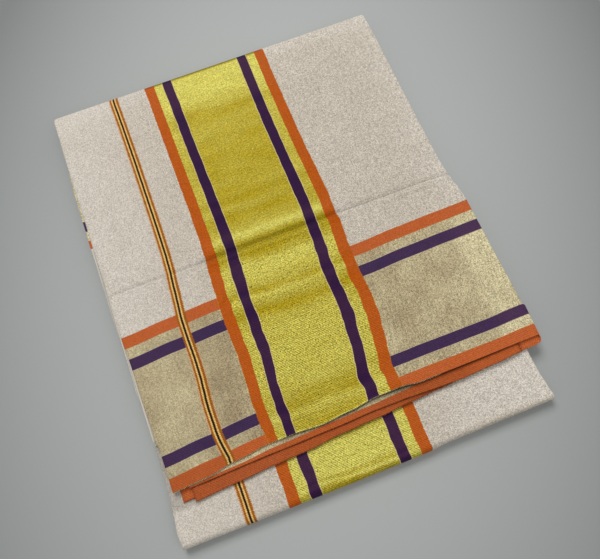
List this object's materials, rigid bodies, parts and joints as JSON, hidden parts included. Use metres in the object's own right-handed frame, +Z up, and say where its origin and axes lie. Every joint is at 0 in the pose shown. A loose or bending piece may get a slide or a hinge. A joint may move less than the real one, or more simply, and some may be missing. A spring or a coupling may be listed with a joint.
{
  "type": "folded saree",
  "caption": "Tissue-cloth saree folded flat, with woven gold end bands, orange and purple stripes and a woven border.",
  "frame": {"origin": "on the table under the middle of the packet's outline", "axes": "+X along the saree's length, left to right; +Y from the front fold to the back fold; +Z up from the table"},
  "size_m": [0.2608, 0.321, 0.016],
  "materials": {
    "cream_tissue": "soft metallic glitter",
    "woven_border": "satin"
  },
  "bodies": {
    "root": {"folded_heart": "cream_tissue", "front_fold_ply": "cream_tissue", "fourth_ply": "woven_border", "third_ply": "woven_border", "second_ply": "woven_border", "inner_end_ply": "cream_tissue", "top_ply": "cream_tissue"}
  },
  "joints": []
}
